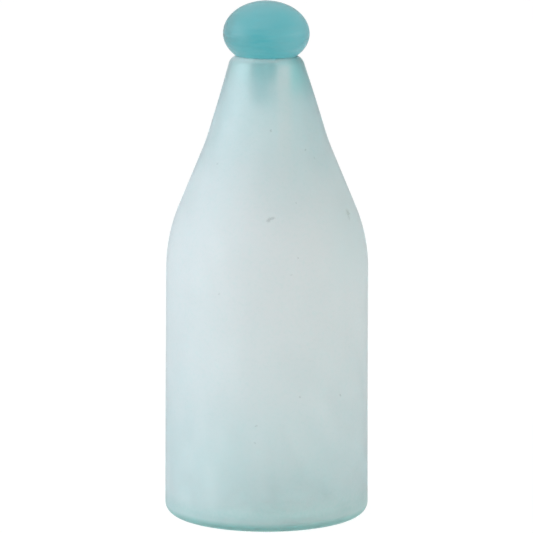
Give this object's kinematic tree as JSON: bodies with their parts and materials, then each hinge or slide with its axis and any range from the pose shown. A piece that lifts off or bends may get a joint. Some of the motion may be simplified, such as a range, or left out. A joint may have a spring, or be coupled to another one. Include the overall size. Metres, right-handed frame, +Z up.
{
  "type": "stoppered glass bottle",
  "caption": "Frosted pale aqua glass bottle with a straight body, sloping shoulder, conical neck and pushed-up base, closed by a loose oblate teal glass stopper with a plain stem.",
  "frame": {"origin": "middle of the foot ring, on the surface that the bottle stands on", "axes": "+Z up along the axis of the bottle and of its stopper; +X and +Y are free, because both pieces are round"},
  "size_m": [0.1399, 0.14, 0.3542],
  "materials": {
    "bottle_glass": "frosted",
    "stopper_glass": "frosted"
  },
  "bodies": {
    "bottle": {"bottle": "bottle_glass"},
    "stopper": {"stopper": "stopper_glass"}
  },
  "joints": [
    {"name": "stopper_lift", "type": "slide", "parent": "bottle", "child": "stopper", "axis": [0, 0, 1], "range_m": [0, 0.09]}
  ]
}
